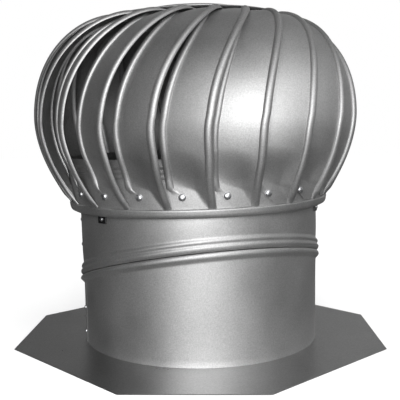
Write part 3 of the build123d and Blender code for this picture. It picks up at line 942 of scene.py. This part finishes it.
class FinishShaft(bpy.types.Operator):
    """Gives the shaft, nuts, hub plate, bearings and bearing housing their plated finish"""

    bl_idname = "ventilator.finish_shaft"
    bl_label = "Shaft and bearings"

    def execute(self, context):
        for node in ("rotor_shaft", "shaft_nuts", "crown_hub", "bearing_housing", "bearings"):
            materials = frame["nodes"][node].data.materials
            materials.clear()
            materials.append(finish("plated"))
        return {"FINISHED"}


# -------------------- stage

CAMERA_PLACE = (0.029731, -0.930545, 0.270971)
CAMERA_LENS = 63.33
SENSOR_WIDTH = 36.0
CAMERA_SHIFT = (-0.0017, -0.0126)
CAMERA_HEADING = np.radians(1.729)
CAMERA_DOWN = np.radians(5.29)
CAMERA_ROLL = np.radians(-0.6)
FLOOR_REACH = 6.0
FLOOR_HEIGHT = -0.0002
WORLD_FILL = 1.12
TENT_RADIUS = 2.0
CLOTH_HEIGHT = -0.0001
# The tent's painted grey, which stands in for the studio's uneven light in reflections: its darkest (painted
# shade on the left), its value in front, and what is added at the far right and at the back (painted light)
TENT_DARK = 0.005
TENT_FRONT = 0.06
TENT_RIGHT = 0.20
TENT_BACK = 0.07
# Painted shade: the near-black floor cloth, seen only in reflections, so the metal mirrors a dark floor where
# the camera sees a white one
CLOTH_PAINTED_SHADE = (0.03, 0.03, 0.03, 1.0)
KEY_PLACE = (0.060, -1.75, 0.455)
KEY_TARGET = (0, 0, 0.26)
KEY_SIZE = 1.05
KEY_POWER = 31.5
SIDE_PLACE = (0.75, -0.95, 1.05)
SIDE_TARGET = (0, 0, 0.30)
SIDE_SIZE = 0.6
SIDE_POWER = 3.5


def camera_axes():
    """The camera's right, up and backward directions, from its heading, downward tilt and roll."""
    c, s = np.cos(CAMERA_HEADING), np.sin(CAMERA_HEADING)
    heading = np.array(((c, -s, 0), (s, c, 0), (0, 0, 1)))
    ahead = heading @ (0, np.cos(CAMERA_DOWN), -np.sin(CAMERA_DOWN))
    above = heading @ (0, np.sin(CAMERA_DOWN), np.cos(CAMERA_DOWN))
    right = heading @ (1, 0, 0)
    c, s = np.cos(CAMERA_ROLL), np.sin(CAMERA_ROLL)
    return c * right + s * above, -s * right + c * above, -ahead


def add_lamp(name, place_at, target, size, power):
    """A soft round lamp that faces a target."""
    data = bpy.data.lights.new(name, "AREA")
    data.shape = "DISK"
    data.size, data.energy = size, power
    lamp = bpy.data.objects.new(name, data)
    lamp.location = place_at
    lamp.rotation_euler = (Vector(target) - Vector(place_at)).to_track_quat("-Z", "Y").to_euler()
    bpy.context.scene.collection.objects.link(lamp)


def studio_world(scene, fill):
    """A white surround for the camera and for reflections, and an even fill for everything else."""
    world = bpy.data.worlds.new("white_studio")
    scene.world = world
    world.use_nodes = True
    tree = world.node_tree
    tree.nodes.clear()
    path = add_node(tree, "ShaderNodeLightPath")
    seen = path, "Is Camera Ray"
    for ray in ("Is Glossy Ray", "Is Transmission Ray"):
        seen = add_node(tree, "ShaderNodeMath", {"operation": "MAXIMUM"}, {0: seen, 1: (path, ray)}), "Value"
    inputs = {"Color": (1, 1, 1, 1), "Strength": ranged(tree, seen, fill, 1.0)}
    light = add_node(tree, "ShaderNodeBackground", None, inputs)
    add_node(tree, "ShaderNodeOutputWorld", None, {"Surface": (light, "Background")})


def matt_surface(name, base):
    """Matt paint or cloth: it has no gleam, and shows only its colour and the shadows on it."""
    material, tree = new_material(name)
    shader = add_node(tree, "ShaderNodeBsdfDiffuse", None, {"Color": base})
    add_node(tree, "ShaderNodeOutputMaterial", None, {"Surface": (shader, "BSDF")})
    return material


def tent_painted_light_and_shade():
    """Painted light and shade of the reflection tent: near black on the left, and paler in front, behind and
    to the right.

    The tent's grey felt is painted. Its dark left stands in for dark surroundings, and its paler front, back
    and right stand in for light from those sides. The metal mirrors it in place of the white surround, so its
    left flank goes darker than its right one.
    """
    material, tree = new_material("studio_tent_felt")
    here = add_node(tree, "ShaderNodeTexCoord")
    where = add_node(tree, "ShaderNodeSeparateXYZ", None, {"Vector": (here, "Object")})
    # Painted shade on the left, and painted light to the front, the right and the back, for the metal to
    # mirror
    grey = ranged(tree, (where, "Y"), TENT_FRONT, TENT_DARK, -TENT_RADIUS, 0.0, "SMOOTHSTEP")
    for axis, start, added in (("X", -TENT_RADIUS, TENT_RIGHT), ("Y", 0.0, TENT_BACK)):
        more = ranged(tree, (where, axis), 0.0, added, start, TENT_RADIUS, "SMOOTHSTEP")
        grey = add_node(tree, "ShaderNodeMath", {"operation": "ADD"}, {0: grey, 1: more}), "Value"
    shader = add_node(tree, "ShaderNodeBsdfDiffuse", None, {"Color": grey})
    add_node(tree, "ShaderNodeOutputMaterial", None, {"Surface": (shader, "BSDF")})
    return material


def add_tent():
    """A round reflection tent, a hemisphere on the floor with a floor cloth, which only reflections see. Both
    carry painted light and shade for the metal to mirror.
    """
    azimuth = np.linspace(0, FULL_TURN, 49)[:, None]
    climb = np.linspace(0, np.pi / 2 - 0.01, 17)
    wall = polar(TENT_RADIUS * np.cos(climb), azimuth, TENT_RADIUS * np.sin(climb))
    cloth = polar(np.array((0.01, TENT_RADIUS)), azimuth, CLOTH_HEIGHT)
    # Painted shade under the object in reflections: a near-black floor cloth that the camera does not see
    cloth_painted_shade = matt_surface("tent_cloth_felt", CLOTH_PAINTED_SHADE)
    # Each tent piece gets a material of painted light or painted shade, seen only in reflections
    for name, points, felt in (("tent_wall", wall, tent_painted_light_and_shade()), ("tent_cloth", cloth, cloth_painted_shade)):
        tent = add_mesh(name, [(points, False, False)])
        tent.data.materials.append(felt)
        tent.visible_camera = False
        tent.visible_diffuse = False
        tent.visible_shadow = False


class AddStage(bpy.types.Operator):
    """Adds the studio: pale floor, two soft lamps, a reflection tent of painted light and shade, white
    surround and the camera
    """

    bl_idname = "ventilator.add_stage"
    bl_label = "Studio"

    def execute(self, context):
        scene = context.scene
        sides = np.array((-FLOOR_REACH, FLOOR_REACH))
        grid = np.stack(np.broadcast_arrays(sides[:, None], sides, FLOOR_HEIGHT), axis=-1)
        floor = add_mesh("studio_floor", [(grid, False, False)])
        floor.data.materials.append(matt_surface("matt_white_floor", tuple(scene.ventilator_finishes.floor)))
        studio_world(scene, WORLD_FILL)
        add_tent()
        add_lamp("key_lamp", KEY_PLACE, KEY_TARGET, KEY_SIZE, KEY_POWER)
        add_lamp("side_lamp", SIDE_PLACE, SIDE_TARGET, SIDE_SIZE, SIDE_POWER)
        camera = bpy.data.objects.new("camera", bpy.data.cameras.new("camera"))
        matrix = np.eye(4)
        matrix[:3] = np.stack((*camera_axes(), CAMERA_PLACE), axis=1)
        camera.matrix_world = Matrix(matrix.tolist())
        camera.data.lens = CAMERA_LENS
        camera.data.sensor_width = SENSOR_WIDTH
        camera.data.shift_x, camera.data.shift_y = CAMERA_SHIFT
        scene.collection.objects.link(camera)
        scene.camera = camera
        scene.view_settings.view_transform = "Standard"
        return {"FINISHED"}


# -------------------- add-on

BUILDERS = (AddFlashing, AddCollars, AddBrace, AddRing, AddVanes, AddCrown, AddRivets, FinishShaft, AddStage)


class VentilatorPanel(bpy.types.Panel):
    """Lists the sizes, the finishes and the operators that build the ventilator"""

    bl_idname = "VIEW3D_PT_ventilator"
    bl_label = "Roof Turbine Ventilator"
    bl_space_type = "VIEW_3D"
    bl_region_type = "UI"
    bl_category = "Ventilator"

    def draw(self, context):
        for group_name in GROUPS:
            group = getattr(context.scene, group_name)
            box = self.layout.box()
            for name in group.__annotations__:
                box.prop(group, name)
        for builder in BUILDERS:
            self.layout.operator(builder.bl_idname)


CLASSES = (HeadSizes, BaseSizes, Finishes, *BUILDERS, VentilatorPanel)
GROUPS = {"ventilator_head": HeadSizes, "ventilator_base": BaseSizes, "ventilator_finishes": Finishes}


def register():
    for item in CLASSES:
        bpy.utils.register_class(item)
    for name, group in GROUPS.items():
        setattr(bpy.types.Scene, name, bpy.props.PointerProperty(type=group))


def unregister():
    for name in GROUPS:
        delattr(bpy.types.Scene, name)
    for item in reversed(CLASSES):
        bpy.utils.unregister_class(item)


def main():
    register()
    bpy.ops.ventilator.add_flashing()
    bpy.ops.ventilator.add_collars()
    bpy.ops.ventilator.add_brace()
    bpy.ops.ventilator.add_ring()
    bpy.ops.ventilator.add_vanes()
    bpy.ops.ventilator.add_crown()
    bpy.ops.ventilator.add_rivets()
    bpy.ops.ventilator.finish_shaft()
    bpy.ops.ventilator.add_stage()


if __name__ == "__main__":
    main()
